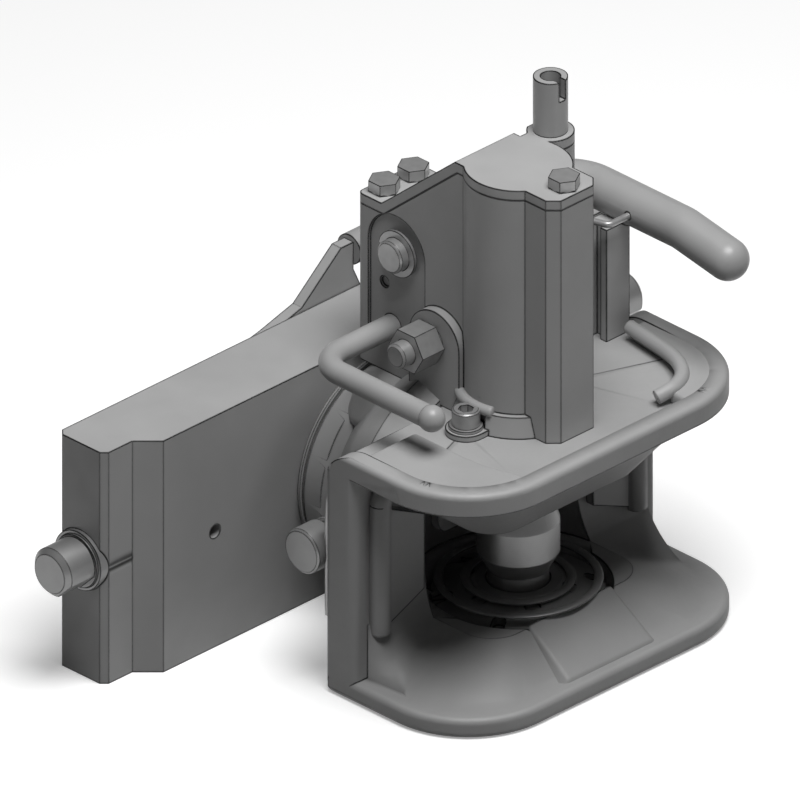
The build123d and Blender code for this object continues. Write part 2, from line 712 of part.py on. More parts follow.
# Mechanism housing with its barrel, column and chamber
bolt_z_level = level(bolt_z)
with BuildPart() as housing:
    with BuildSketch(Plane.XY.offset(level(deck))):
        add(case_plan())
    extrude(amount=case_top - deck)
    # Foot ring and the ears of its screws
    with BuildSketch(Plane.XY.offset(level(deck))):
        Circle(collar_radius)
    extrude(amount=10, taper=14)
    with BuildSketch(Plane.XY.offset(level(deck))):
        with Locations((0, screw_offset), (0, -screw_offset)):
            Circle(9.5)
        Rectangle(19, 2 * screw_offset)
    extrude(amount=3)
    with BuildSketch(Plane.XY.offset(level(deck + 3))):
        with Locations((0, screw_offset), (0, -screw_offset)):
            Circle(8.6)
    extrude(amount=12, mode=Mode.SUBTRACT)
    # Pad under the nut of the cross bolt
    with BuildSketch(Plane.XZ.offset(case_half_width)):
        with Locations((bolt_x + 3, (level(deck) + bolt_z_level) / 2)):
            Rectangle(32, bolt_z - deck)
        with Locations((bolt_x + 3, bolt_z_level)):
            Circle(16)
    extrude(amount=pad_thickness)
    # Slope of the top
    with BuildSketch(Plane.XZ.offset(case_depth)):
        with BuildLine():
            Polyline(
                *cover_line(0),
                (column_front + 5, level(case_top + 30)),
                (case_back - 5, level(case_top + 30)),
                close=True,
            )
        make_face()
    extrude(amount=-2 * case_depth, mode=Mode.SUBTRACT)
    # Bore of the pin
    with BuildSketch(Plane.XY.offset(level(deck))):
        Circle(bore_radius)
    extrude(amount=case_top - deck, mode=Mode.SUBTRACT)
    # Chamber of the lift arm
    chamber_back = slope_start - 3
    with BuildSketch(Plane.XY.offset(level(deck + case_wall))):
        with Locations((chamber_back / 2, 0)):
            Rectangle(-chamber_back, 2 * (case_half_width - case_wall))
    extrude(amount=case_top, mode=Mode.SUBTRACT)
    # Arched recess round the lever shaft, on the left
    with BuildSketch(Plane.XZ.offset(case_half_width)):
        with Locations((shaft_x - 2, (level(deck + 20) + level(shaft_z)) / 2)):
            Rectangle(36, shaft_z - deck - 20)
        with Locations((shaft_x - 2, level(shaft_z))):
            Circle(18)
    extrude(amount=-1.5, mode=Mode.SUBTRACT)
    # Bores for the lever shaft, the latch shaft and the cross bolt
    with BuildSketch(Plane.XZ.offset(case_half_width + pad_thickness)):
        with Locations((shaft_x, level(shaft_z))):
            Circle(shaft_radius + running_gap)
        with Locations((latch_x, level(latch_z))):
            Circle(latch_radius + running_gap)
        with Locations((bolt_x, bolt_z_level)):
            Circle(bolt_radius + running_gap)
    extrude(amount=-2 * (case_half_width + pad_thickness), mode=Mode.SUBTRACT)
    # Screw holes for the cover and the foot, and the hole of the cable tube
    with BuildSketch(Plane.XY.offset(level(case_ledge))):
        with Locations((case_back + 7.5, 9.3), (case_back + 7.5, -9.3)):
            Circle(screw_radius + running_gap)
    extrude(amount=-12, mode=Mode.SUBTRACT)
    with BuildSketch(Plane.XY.offset(level(case_top))):
        with Locations((column_front - 8.5, 0)):
            Circle(screw_radius + running_gap)
    extrude(amount=-14, mode=Mode.SUBTRACT)
    with BuildSketch(Plane.XY.offset(level(case_top))):
        with Locations((lobe_x, lobe_y)):
            Circle(tube_radius - 2 + running_gap)
    extrude(amount=-16, mode=Mode.SUBTRACT)
    with BuildSketch(Plane.XY.offset(level(deck - 1))):
        with Locations((0, screw_offset), (0, -screw_offset)):
            Circle(screw_radius + running_gap)
    extrude(amount=8, mode=Mode.SUBTRACT)
    # Sight hole in the left wall
    with BuildSketch(Plane.XZ.offset(case_half_width)):
        with Locations((case_back + 16, level(164))):
            Circle(2.8)
    extrude(amount=-3, mode=Mode.SUBTRACT)
housing.part.label = "housing"
export_step(housing.part, "parts/housing.step")

# Bent cover plate
with BuildPart() as cover:
    with BuildSketch(Plane.XY.offset(level(deck))):
        add(case_plan())
    extrude(amount=case_top)
    with BuildSketch(Plane.XZ.offset(case_depth)):
        with BuildLine():
            Polyline(*cover_line(0), *reversed(cover_line(cover_thickness)), close=True)
        make_face()
    extrude(amount=-2 * case_depth, mode=Mode.INTERSECT)
    with BuildSketch(Plane.XY.offset(level(case_ledge - 1))):
        with Locations((case_back + 7.5, 9.3), (case_back + 7.5, -9.3), (column_front - 8.5, 0)):
            Circle(screw_radius + running_gap)
        with Locations((lobe_x, lobe_y)):
            Circle(tube_radius - 2 + running_gap)
    extrude(amount=case_top, mode=Mode.SUBTRACT)
cover.part.label = "cover"
export_step(cover.part, "parts/cover.step")

# Screws of the cover
cover_spots = (
    (case_back + 7.5, 9.3, case_ledge),
    (case_back + 7.5, -9.3, case_ledge),
    (column_front - 8.5, 0, case_top),
)
with BuildPart() as cover_screws:
    for spot_x, spot_y, spot_z in cover_spots:
        with BuildSketch(Plane.XY.offset(level(spot_z - 11))):
            with Locations((spot_x, spot_y)):
                Circle(screw_radius)
        extrude(amount=11 + cover_thickness)
        with BuildSketch(Plane.XY.offset(level(spot_z + cover_thickness))):
            with Locations((spot_x, spot_y)):
                Circle(6.5)
        extrude(amount=0.6)
        with BuildSketch(Plane.XY.offset(level(spot_z + cover_thickness + 0.6))):
            with Locations((spot_x, spot_y)):
                RegularPolygon(6.5, 6, major_radius=False)
        extrude(amount=5.3)
cover_screws.part.label = "cover_screws"
export_step(cover_screws.part, "parts/cover_screws.step")

# Slotted cable tube on the cover's ear
with BuildPart() as cable_tube:
    with BuildSketch(Plane.XY.offset(level(case_top - 15))):
        with Locations((lobe_x, lobe_y)):
            Circle(tube_radius - 2)
    extrude(amount=15 + cover_thickness)
    with BuildSketch(Plane.XY.offset(level(case_top + cover_thickness))):
        with Locations((lobe_x, lobe_y)):
            Circle(tube_radius)
    extrude(amount=tube_top - case_top - cover_thickness)
    with BuildSketch(Plane.XY.offset(level(case_top - 15))):
        with Locations((lobe_x, lobe_y)):
            Circle(tube_radius - 3.5)
    extrude(amount=tube_top, mode=Mode.SUBTRACT)
    with BuildSketch(Plane.XY.offset(level(tube_top - 10))):
        with Locations((lobe_x + tube_radius, lobe_y)):
            Rectangle(2 * tube_radius, 4)
    extrude(amount=10, mode=Mode.SUBTRACT)
cable_tube.part.label = "cable_tube"
export_step(cable_tube.part, "parts/cable_tube.step")

# Foot screws with their washers
with BuildPart() as foot_washers:
    with BuildSketch(Plane.XY.offset(level(deck + 3))):
        with Locations((0, screw_offset), (0, -screw_offset)):
            Circle(8)
            Circle(screw_radius + running_gap, mode=Mode.SUBTRACT)
    extrude(amount=washer_thickness)
foot_washers.part.label = "foot_washers"
export_step(foot_washers.part, "parts/foot_washers.step")

with BuildPart() as foot_screws:
    head_base = level(deck + 3 + washer_thickness)
    with BuildSketch(Plane.XY.offset(level(deck - 15))):
        with Locations((0, screw_offset), (0, -screw_offset)):
            Circle(screw_radius)
    extrude(amount=18 + washer_thickness)
    with BuildSketch(Plane.XY.offset(head_base)):
        with Locations((0, screw_offset), (0, -screw_offset)):
            Circle(6.5)
    extrude(amount=8)
    chamfer(foot_screws.faces().sort_by(Axis.Z)[-2:].edges(), 0.8)
    with BuildSketch(Plane.XY.offset(head_base + 8)):
        with Locations((0, screw_offset), (0, -screw_offset)):
            RegularPolygon(3, 6, major_radius=False)
    extrude(amount=-4, mode=Mode.SUBTRACT)
foot_screws.part.label = "foot_screws"
export_step(foot_screws.part, "parts/foot_screws.step")

# Lever shaft across the case, with its ring and cross pin
with BuildPart() as lever_shaft:
    with BuildSketch(Plane.XZ.offset(case_half_width + 7)):
        with Locations((shaft_x, level(shaft_z))):
            Circle(shaft_radius)
    extrude(amount=-2 * case_half_width - 33)
    chamfer(lever_shaft.edges().filter_by(GeomType.CIRCLE).sort_by(Axis.Y)[0], 1)
    with BuildSketch(Plane.YZ.offset(shaft_x - 13)):
        with Locations((0, level(shaft_z))):
            Circle(2.5 + running_gap)
    extrude(amount=26, mode=Mode.SUBTRACT)
lever_shaft.part.label = "lever_shaft"
export_step(lever_shaft.part, "parts/lever_shaft.step")

with BuildPart() as lever_ring:
    with BuildSketch(Plane.XZ.offset(case_half_width + 0.3)):
        with Locations((shaft_x, level(shaft_z))):
            Circle(shaft_radius + 3.5)
            Circle(shaft_radius + running_gap, mode=Mode.SUBTRACT)
        with Locations((shaft_x - shaft_radius - 2, level(shaft_z))):
            Rectangle(7, 3, mode=Mode.SUBTRACT)
    extrude(amount=1.8)
lever_ring.part.label = "lever_ring"
export_step(lever_ring.part, "parts/lever_ring.step")

# Lift arm between the case walls
with BuildPart() as lift_arm:
    with BuildSketch(Plane.XZ.offset(arm_width / 2)):
        with Locations((shaft_x, level(shaft_z))):
            Circle(12)
        with Locations(Location((shaft_x, level(shaft_z), 0), (0, 0, -arm_half_angle))):
            with Locations((arm_reach / 2, 0)):
                Rectangle(arm_reach, 2 * arm_tip_radius)
            with Locations((arm_reach, 0)):
                Circle(arm_tip_radius)
        with Locations((shaft_x, level(shaft_z))):
            Circle(shaft_radius + running_gap, mode=Mode.SUBTRACT)
    extrude(amount=-arm_width)
    with BuildSketch(Plane.YZ.offset(shaft_x - 13)):
        with Locations((0, level(shaft_z))):
            Circle(2.5 + running_gap)
    extrude(amount=26, mode=Mode.SUBTRACT)
lift_arm.part.label = "lift_arm"
export_step(lift_arm.part, "parts/lift_arm.step")

with BuildPart() as arm_pin:
    with BuildSketch(Plane.YZ.offset(shaft_x - 11.5)):
        with Locations((0, level(shaft_z))):
            Circle(2.5)
    extrude(amount=23)
arm_pin.part.label = "arm_pin"
export_step(arm_pin.part, "parts/arm_pin.step")

# Closing spring, wound on the lever shaft beside the arm
closing_pitch = (case_half_width - case_wall - arm_width / 2 - 1) / 3
with BuildPart() as closing_spring:
    with BuildSketch(Plane.XY.offset(level(shaft_z))):
        for turn in range(3):
            closing_y = arm_width / 2 + 0.3 + turn * closing_pitch
            with BuildLine():
                Polyline(
                    (shaft_x + shaft_radius + 0.1, closing_y),
                    (shaft_x + shaft_radius + 0.8, closing_y),
                    (shaft_x + shaft_radius + 1.9, closing_y + closing_pitch / 2),
                    (shaft_x + shaft_radius + 0.8, closing_y + closing_pitch),
                    (shaft_x + shaft_radius + 0.1, closing_y + closing_pitch),
                    close=True,
                )
            make_face()
    revolve(axis=Axis((shaft_x, 0, level(shaft_z)), (0, 1, 0)))
closing_spring.part.label = "closing_spring"
export_step(closing_spring.part, "parts/closing_spring.step")

# Hand lever: a bent round bar over the end of the shaft
with BuildPart() as hand_lever:
    with BuildLine() as lever_path:
        FilletPolyline(
            (shaft_x, case_half_width + 0.4, level(shaft_z)),
            (shaft_x, lever_y, level(shaft_z)),
            (lever_end - 28, lever_y, level(shaft_z)),
            (lever_end, lever_y, level(shaft_z - 5)),
            radius=(lever_bend, lever_bend),
        )
    with BuildSketch(Plane.XZ.offset(-case_half_width - 0.4)):
        with Locations((shaft_x, level(shaft_z))):
            Circle(lever_radius)
    sweep(path=lever_path.line)
    with Locations((lever_end, lever_y, level(shaft_z - 5))):
        Sphere(lever_radius)
    with BuildSketch(Plane.XZ.offset(-case_half_width)):
        with Locations((shaft_x, level(shaft_z))):
            Circle(shaft_radius + running_gap)
    extrude(amount=-26.5, mode=Mode.SUBTRACT)
    with BuildSketch(Plane.XZ.offset(-lever_y - 12)):
        with Locations((-8, level(shaft_z))):
            Circle(1.9)
    extrude(amount=24, mode=Mode.SUBTRACT)
hand_lever.part.label = "hand_lever"
export_step(hand_lever.part, "parts/hand_lever.step")

# Wire clip through the lever
with BuildPart() as lever_clip:
    with BuildLine() as clip_path:
        FilletPolyline(
            (-8, lever_y + 13, level(shaft_z)),
            (-8, lever_y - 22, level(shaft_z)),
            (-20, lever_y - 26, level(shaft_z)),
            (-26, lever_y - 16, level(shaft_z)),
            radius=3,
        )
    with BuildSketch(clip_path.line ^ 0):
        Circle(1.6)
    sweep(path=clip_path.line)
lever_clip.part.label = "lever_clip"
export_step(lever_clip.part, "parts/lever_clip.step")

# Latch handle and the pawl that it turns
with BuildPart() as latch_handle:
    with BuildLine() as latch_path:
        FilletPolyline(
            (latch_x, case_half_width - 1, level(latch_z)),
            (latch_x, -latch_out, level(latch_z)),
            (latch_forward, -latch_out, level(latch_z)),
            radius=latch_bend,
        )
    with BuildSketch(Plane.XZ.offset(1 - case_half_width)):
        with Locations((latch_x, level(latch_z))):
            Circle(latch_radius)
    sweep(path=latch_path.line)
    with Locations((latch_forward, -latch_out, level(latch_z))):
        Sphere(latch_radius + 0.8)
latch_handle.part.label = "latch_handle"
export_step(latch_handle.part, "parts/latch_handle.step")

with BuildPart() as latch_pawl:
    with BuildSketch(Plane.XZ.offset(5)):
        with Locations(Location((latch_x, level(latch_z), 0), (0, 0, 65))):
            with Locations((9, 0)):
                SlotOverall(26, 9)
        with Locations((latch_x, level(latch_z))):
            Circle(latch_radius + 1.3)
            Circle(latch_radius + running_gap, mode=Mode.SUBTRACT)
    extrude(amount=-10)
latch_pawl.part.label = "latch_pawl"
export_step(latch_pawl.part, "parts/latch_pawl.step")

# Cross bolt through the case, and its nut
nut_face = case_half_width + pad_thickness
with BuildPart() as cross_bolt:
    with BuildSketch(Plane.XZ.offset(nut_face + nut_height + 7)):
        with Locations((bolt_x, bolt_z_level)):
            Circle(bolt_radius)
    extrude(amount=-(nut_face + nut_height + 7 + case_half_width))
    chamfer(cross_bolt.edges().filter_by(GeomType.CIRCLE).sort_by(Axis.Y)[0], 1.2)
    with BuildSketch(Plane.XZ.offset(-case_half_width)):
        with Locations((bolt_x, bolt_z_level)):
            RegularPolygon(bolt_flats / 2, 6, major_radius=False)
    extrude(amount=-7.5)
cross_bolt.part.label = "cross_bolt"
export_step(cross_bolt.part, "parts/cross_bolt.step")

with BuildPart() as cross_nut:
    with BuildSketch(Plane.XZ.offset(nut_face)):
        with Locations((bolt_x, bolt_z_level)):
            Circle(bolt_flats / 2 - 0.5)
    extrude(amount=1)
    with BuildSketch(Plane.XZ.offset(nut_face + 1)):
        with Locations((bolt_x, bolt_z_level)):
            RegularPolygon(bolt_flats / 2, 6, major_radius=False)
    extrude(amount=nut_height - 1)
    with BuildSketch(Plane.XZ.offset(nut_face + nut_height)):
        with Locations((bolt_x, bolt_z_level)):
            Circle(bolt_radius + running_gap)
    extrude(amount=-nut_height, mode=Mode.SUBTRACT)
cross_nut.part.label = "cross_nut"
export_step(cross_nut.part, "parts/cross_nut.step")

# Rest that carries the lever when the jaw is closed
with BuildPart() as lever_rest:
    with BuildSketch(Plane.XY.offset(level(deck))):
        with Locations((inner_wall - 9.5, (post_inner + post_outer) / 2)):
            Rectangle(13, post_outer - post_inner)
        with Locations((inner_wall - 9.5, post_inner)):
            Rectangle(5, 6, mode=Mode.SUBTRACT)
    extrude(amount=shaft_z - lever_radius - deck + 3)
    with BuildSketch(Plane.YZ.offset(jaw_back - 20)):
        with Locations((lever_y, level(shaft_z))):
            Circle(lever_radius + 0.3)
    extrude(amount=60, mode=Mode.SUBTRACT)
lever_rest.part.label = "lever_rest"
export_step(lever_rest.part, "parts/lever_rest.step")

# Side screw in the neck, with its knob and ring clip
with BuildPart() as side_screw:
    with BuildSketch(Plane.XZ.offset(knob_end)):
        with Locations((jaw_back - 14, level(knob_z))):
            Circle(knob_radius)
    extrude(amount=-14)
    chamfer(side_screw.edges().filter_by(GeomType.CIRCLE), 1)
    with BuildSketch(Plane.XZ.offset(knob_end - 14)):
        with Locations((jaw_back - 14, level(knob_z))):
            Circle(7)
    extrude(amount=-(knob_end - 14 - throat_depth - 2))
side_screw.part.label = "side_screw"
export_step(side_screw.part, "parts/side_screw.step")

with BuildPart() as side_ring:
    with BuildSketch(Plane(origin=(jaw_back - 14 + 8.8, -knob_end + 18, level(knob_z)), z_dir=(0, 0, 1))):
        RegularPolygon(1.6, 8)
    revolve(axis=Axis((jaw_back - 14, -knob_end + 18, level(knob_z)), (0, 1, 0)))
side_ring.part.label = "side_ring"
export_step(side_ring.part, "parts/side_ring.step")
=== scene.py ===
# %% [markdown]
# The trailer hitch comes in as a fixed frame of solids, each in its real place and size.
# This first cell loads them and keeps the box that they fill, because the dressed model
# has to stay inside it.

# %% Load the frame
import math

import bpy
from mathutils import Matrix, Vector


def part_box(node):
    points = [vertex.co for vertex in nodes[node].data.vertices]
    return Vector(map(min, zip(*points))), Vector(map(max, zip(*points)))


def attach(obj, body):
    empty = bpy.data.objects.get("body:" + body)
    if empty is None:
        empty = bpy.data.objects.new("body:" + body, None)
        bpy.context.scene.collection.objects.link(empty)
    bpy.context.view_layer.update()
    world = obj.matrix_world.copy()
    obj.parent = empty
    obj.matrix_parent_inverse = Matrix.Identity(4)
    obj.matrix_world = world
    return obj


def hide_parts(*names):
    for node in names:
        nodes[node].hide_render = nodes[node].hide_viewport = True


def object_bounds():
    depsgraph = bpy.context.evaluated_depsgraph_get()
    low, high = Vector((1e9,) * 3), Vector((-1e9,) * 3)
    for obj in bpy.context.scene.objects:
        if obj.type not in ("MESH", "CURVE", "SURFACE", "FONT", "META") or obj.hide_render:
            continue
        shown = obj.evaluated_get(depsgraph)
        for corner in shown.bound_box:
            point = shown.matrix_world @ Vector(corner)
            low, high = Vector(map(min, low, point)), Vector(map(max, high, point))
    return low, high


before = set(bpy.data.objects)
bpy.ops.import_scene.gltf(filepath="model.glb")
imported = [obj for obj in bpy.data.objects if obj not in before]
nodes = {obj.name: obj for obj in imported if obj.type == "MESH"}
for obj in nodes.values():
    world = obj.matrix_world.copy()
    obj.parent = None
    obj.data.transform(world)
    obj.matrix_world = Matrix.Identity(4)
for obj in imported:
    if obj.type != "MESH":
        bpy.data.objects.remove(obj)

cad_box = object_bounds()
MM = 0.001
print("loaded", len(nodes), "solids")

# %% [markdown]
# Every shader here is a small chain of nodes. One function adds a node with its settings and
# its links, and another turns a hex colour, as a paint chart gives it, into linear light.
# Several sockets of a Mix node share a name, so its colour sockets are picked by number. A
# Noise texture rarely leaves the middle of its range, so patterns are read between two
# values there.

# %% Helpers for materials
MIX_A, MIX_B, MIX_RESULT = 6, 7, 2
NOISE_LOW, NOISE_HIGH = 0.3, 0.7


def linear(hex_colour):
    """A colour written as sRGB hex, as the linear values that the shader takes."""
    channels = [int(hex_colour[i:i + 2], 16) / 255 for i in (1, 3, 5)]
    return [c / 12.92 if c <= 0.04045 else ((c + 0.055) / 1.055) ** 2.4
            for c in channels] + [1.0]


def add_node(tree, kind, settings=None, inputs=None):
    """A node of the given kind, with its settings and its inputs, each a value or a link."""
    node = tree.nodes.new(kind)
    for name, value in (settings or {}).items():
        setattr(node, name, value)
    for name, value in (inputs or {}).items():
        if isinstance(value, bpy.types.NodeSocket):
            tree.links.new(value, node.inputs[name])
        else:
            node.inputs[name].default_value = value
    return node


def new_material(name):
    """An empty material with a Principled shader."""
    material = bpy.data.materials.new(name)
    material.use_nodes = True
    tree = material.node_tree
    tree.nodes.clear()
    shader = add_node(tree, "ShaderNodeBsdfPrincipled")
    add_node(tree, "ShaderNodeOutputMaterial", inputs={"Surface": shader.outputs[0]})
    return material, tree, shader


def object_place(tree):
    """Where a point lies on the hitch, in metres, which carries every pattern."""
    return add_node(tree, "ShaderNodeTexCoord").outputs["Object"]


# %% [markdown]
# The drawing that this hitch is taken from shows a thin dark line wherever two faces meet,
# and the colour here is painted darker along every edge to copy it: a painted dark line on
# the outer edges, and painted shade in the inner corners. A Bevel node gives the normal that
# the surface would have with its edges rounded. Where that leaves the surface's own smooth
# normal an edge is near, so the colour is drawn darker there. The smooth normal is used,
# because the flat one would put a stripe at every facet of a round bar.

# %% Painted dark lines and shade along the edges
# The colour of the painted dark edge lines, which in the inner corners are painted shade.
PAINTED_EDGE_COLOUR = "#090909"
EDGE_BAND_STARTS, EDGE_BAND_IS_FULL = 0.995, 0.965


def painted_edge_mask(tree, width_mm):
    """A mask that is 1 on the painted dark band along every edge, and the rounded edge's
    normal.
    """
    rounded = add_node(tree, "ShaderNodeBevel", {"samples": 8}, {"Radius": width_mm * MM})
    surface = add_node(tree, "ShaderNodeNewGeometry")
    alike = add_node(tree, "ShaderNodeVectorMath", {"operation": "DOT_PRODUCT"},
                     {0: rounded.outputs["Normal"], 1: surface.outputs["Normal"]})
    mask = add_node(tree, "ShaderNodeMapRange", {},
                    {"Value": alike.outputs["Value"], "From Min": EDGE_BAND_STARTS,
                     "From Max": EDGE_BAND_IS_FULL, "To Min": 0.0, "To Max": 1.0})
    return mask.outputs["Result"], rounded.outputs["Normal"]


def colour_with_painted_edges(tree, shader, colour, tone, painted_edge_mm):
    """The colour times a cloudy tone, with dark lines painted along the edges. Gives the
    rounded normal.
    """
    shade = add_node(tree, "ShaderNodeMix", {"data_type": "RGBA", "blend_type": "MULTIPLY"},
                     {"Factor": 1.0, MIX_A: linear(colour), MIX_B: tone.outputs["Result"]})
    painted_edge, rounded_normal = painted_edge_mask(tree, painted_edge_mm)
    # A painted dark line along each edge, and painted shade in the inner corners.
    painted_edges = add_node(tree, "ShaderNodeMix", {"data_type": "RGBA"},
                      {"Factor": painted_edge, MIX_A: shade.outputs[MIX_RESULT],
                       MIX_B: linear(PAINTED_EDGE_COLOUR)})
    tree.links.new(painted_edges.outputs[MIX_RESULT], shader.inputs["Base Color"])
    return rounded_normal


# %% [markdown]
# Sprayed paint on cast steel: the casting's sand skin shows through as a shallow bumpiness
# a few millimetres across, and the paint's own orange peel is finer. Milled plate and bent
# bar are smoother, so they share the recipe with smaller heights. The paint is a little
# cloudy on a larger scale.

# %% Painted steel
PEEL_MM, PEEL_HEIGHT_MM = 0.9, 0.02
PAINT_CLOUD_MM = 45


def painted_steel(name, colour, skin_mm, skin_height_mm, roughness, painted_edge_mm=1.35):
    """Satin paint over a casting's skin or over rolled steel."""
    material, tree, shader = new_material(name)
    place = object_place(tree)
    skin = add_node(tree, "ShaderNodeTexNoise", {},
                    {"Vector": place, "Scale": 1 / (skin_mm * MM), "Detail": 4.0,
                     "Roughness": 0.55})
    peel = add_node(tree, "ShaderNodeTexNoise", {},
                    {"Vector": place, "Scale": 1 / (PEEL_MM * MM), "Detail": 2.0})
    cloud = add_node(tree, "ShaderNodeTexNoise", {},
                     {"Vector": place, "Scale": 1 / (PAINT_CLOUD_MM * MM), "Detail": 3.0})
    tone = add_node(tree, "ShaderNodeMapRange", {},
                    {"Value": cloud.outputs["Fac"], "From Min": NOISE_LOW,
                     "From Max": NOISE_HIGH, "To Min": 0.93, "To Max": 1.05})
    rounded_normal = colour_with_painted_edges(tree, shader, colour, tone, painted_edge_mm)
    gloss = add_node(tree, "ShaderNodeMapRange", {},
                     {"Value": skin.outputs["Fac"], "From Min": NOISE_LOW,
                      "From Max": NOISE_HIGH, "To Min": roughness - 0.05,
                      "To Max": roughness + 0.07})
    tree.links.new(gloss.outputs["Result"], shader.inputs["Roughness"])
    coarse = add_node(tree, "ShaderNodeBump", {},
                      {"Strength": 0.35, "Distance": skin_height_mm * MM,
                       "Height": skin.outputs["Fac"], "Normal": rounded_normal})
    fine = add_node(tree, "ShaderNodeBump", {},
                    {"Strength": 0.25, "Distance": PEEL_HEIGHT_MM * MM,
                     "Height": peel.outputs["Fac"], "Normal": coarse.outputs["Normal"]})
    tree.links.new(fine.outputs["Normal"], shader.inputs["Normal"])
    return material


casting_paint = painted_steel("grey_paint_on_cast_steel", "#a2a2a2",
                              skin_mm=3.0, skin_height_mm=0.16, roughness=0.5)
plate_paint = painted_steel("grey_paint_on_milled_plate", "#a6a6a6",
                            skin_mm=9.0, skin_height_mm=0.04, roughness=0.46)
bar_paint = painted_steel("grey_paint_on_bent_bar", "#a0a0a0",
                          skin_mm=6.0, skin_height_mm=0.03, roughness=0.38, painted_edge_mm=1.2)
print("painted steels made")

# %% [markdown]
# The coupling pin, the seat and the locking pins are turned: the tool leaves rings about
# 0.4 mm apart round the axis. A Wave texture draws them, as bands across a pin's axis or as
# rings round the seat's. Real feed marks are finer than a pixel here, so they are drawn at
# 1.2 mm to show at all. At a scale of 1 the texture repeats every 0.314 of a unit.

# %% Turned steel
FEED_MM, FEED_HEIGHT_MM = 1.2, 0.03
WAVE_PERIOD = 0.314
TURNED_CLOUD_MM = 18


def turned_steel(name, colour, axis, centre_mm, roughness, pattern="BANDS"):
    """Bare steel from the lathe, with its feed marks as bands along the axis or rings."""
    material, tree, shader = new_material(name)
    place = object_place(tree)
    moved = add_node(tree, "ShaderNodeMapping", {},
                     {"Vector": place, "Location": [-c * MM for c in centre_mm]})
    feed = add_node(tree, "ShaderNodeTexWave",
                    {"wave_type": pattern, pattern.lower() + "_direction": axis},
                    {"Vector": moved.outputs["Vector"], "Scale": WAVE_PERIOD / (FEED_MM * MM),
                     "Distortion": 0.6, "Detail": 2.0, "Detail Scale": 2.0})
    cloud = add_node(tree, "ShaderNodeTexNoise", {},
                     {"Vector": place, "Scale": 1 / (TURNED_CLOUD_MM * MM), "Detail": 4.0})
    tone = add_node(tree, "ShaderNodeMapRange", {},
                    {"Value": cloud.outputs["Fac"], "From Min": NOISE_LOW,
                     "From Max": NOISE_HIGH, "To Min": 0.88, "To Max": 1.06})
    rounded_normal = colour_with_painted_edges(tree, shader, colour, tone, 1.0)
    gloss = add_node(tree, "ShaderNodeMapRange", {},
                     {"Value": feed.outputs["Fac"], "To Min": roughness - 0.04,
                      "To Max": roughness + 0.06})
    tree.links.new(gloss.outputs["Result"], shader.inputs["Roughness"])
    shader.inputs["Metallic"].default_value = 0.55
    marks = add_node(tree, "ShaderNodeBump", {},
                     {"Strength": 0.3, "Distance": FEED_HEIGHT_MM * MM,
                      "Height": feed.outputs["Fac"], "Normal": rounded_normal})
    tree.links.new(marks.outputs["Normal"], shader.inputs["Normal"])
    return material


lock_low, lock_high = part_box("lock_pin_right")
lock_centre = [(a + b) / 2 / MM for a, b in zip(lock_low, lock_high)]
pin_metal = turned_steel("turned_pin_steel", "#969696", "Z", (0, 0, 0), 0.42)
seat_metal = turned_steel("turned_seat_steel", "#9a9a9a", "Z", (0, 0, 0), 0.48, "RINGS")
lock_metal = turned_steel("turned_locking_pin_steel", "#9c9c9c", "Y", lock_centre, 0.42)
print("turned steels made")

# %% [markdown]
# Bolts, nuts, washers and clips are zinc plated: a thin, slightly cloudy grey coat that is
# glossier than the paint. The spangle is drawn at 4 mm. The springs are phosphated, which is
# a coat of the same kind but nearly black and duller.

# %% Plated steel
SPANGLE_MM = 4
GRAIN_MM, GRAIN_HEIGHT_MM = 1.5, 0.02


def plated_steel(name, colour, roughness):
    """Coated steel, cloudy and a little glossy."""
    material, tree, shader = new_material(name)
    place = object_place(tree)
    spangle = add_node(tree, "ShaderNodeTexVoronoi", {},
                       {"Vector": place, "Scale": 1 / (SPANGLE_MM * MM)})
    tone = add_node(tree, "ShaderNodeMapRange", {},
                    {"Value": spangle.outputs["Distance"], "To Min": 0.92, "To Max": 1.08})
    rounded_normal = colour_with_painted_edges(tree, shader, colour, tone, 0.8)
    grain = add_node(tree, "ShaderNodeTexNoise", {},
                     {"Vector": place, "Scale": 1 / (GRAIN_MM * MM), "Detail": 3.0})
    gloss = add_node(tree, "ShaderNodeMapRange", {},
                     {"Value": grain.outputs["Fac"], "From Min": NOISE_LOW,
                      "From Max": NOISE_HIGH, "To Min": roughness - 0.05,
                      "To Max": roughness + 0.08})
    tree.links.new(gloss.outputs["Result"], shader.inputs["Roughness"])
    shader.inputs["Metallic"].default_value = 0.5
    bump = add_node(tree, "ShaderNodeBump", {},
                    {"Strength": 0.2, "Distance": GRAIN_HEIGHT_MM * MM,
                     "Height": grain.outputs["Fac"], "Normal": rounded_normal})
    tree.links.new(bump.outputs["Normal"], shader.inputs["Normal"])
    return material


bolt_metal = plated_steel("zinc_plated_steel", "#a4a4a4", 0.36)
spring_metal = plated_steel("phosphated_spring_steel", "#4a4a4a", 0.45)
print("plated steels made")

# %% [markdown]
# Each solid keeps its shape and only takes a finish. The list names the painted, turned and
# sprung pieces. What it doesn't name is a small fastener, and those are plated.

# %% Give each solid its finish
finishes = {
    casting_paint: ("jaw", "housing", "centring_wings", "trigger", "swivel_shaft"),
    plate_paint: ("guide_plate", "cover", "cam_plate", "lever_rest", "swivel_ring"),
    bar_paint: ("hand_lever", "latch_handle", "release_handle", "latch_pawl", "lift_arm",
                "cable_tube"),
    pin_metal: ("coupling_pin",),
    seat_metal: ("seat",),
    lock_metal: ("lock_pin_right", "lock_pin_left", "lock_bushes", "side_screw"),
    spring_metal: ("lock_spring_right", "lock_spring_left", "closing_spring"),
}
finish_of = {node: material for material, members in finishes.items() for node in members}
for name, solid in nodes.items():
    solid.data.materials.clear()
    solid.data.materials.append(finish_of.get(name, bolt_metal))
print("finished", len(nodes), "solids")

# %% [markdown]
# Now the forms that a caster adds to the bare solids. New pieces are modelled as by hand: a
# primitive is added at its place, its faces are pulled and bevelled in edit mode, and the
# modifier that finishes it is applied. Everything is deselected before each piece, because
# an operator acts on all that is selected. Three levels come from the solids: the ground
# face, the deck of the upper lip and the rim round it.

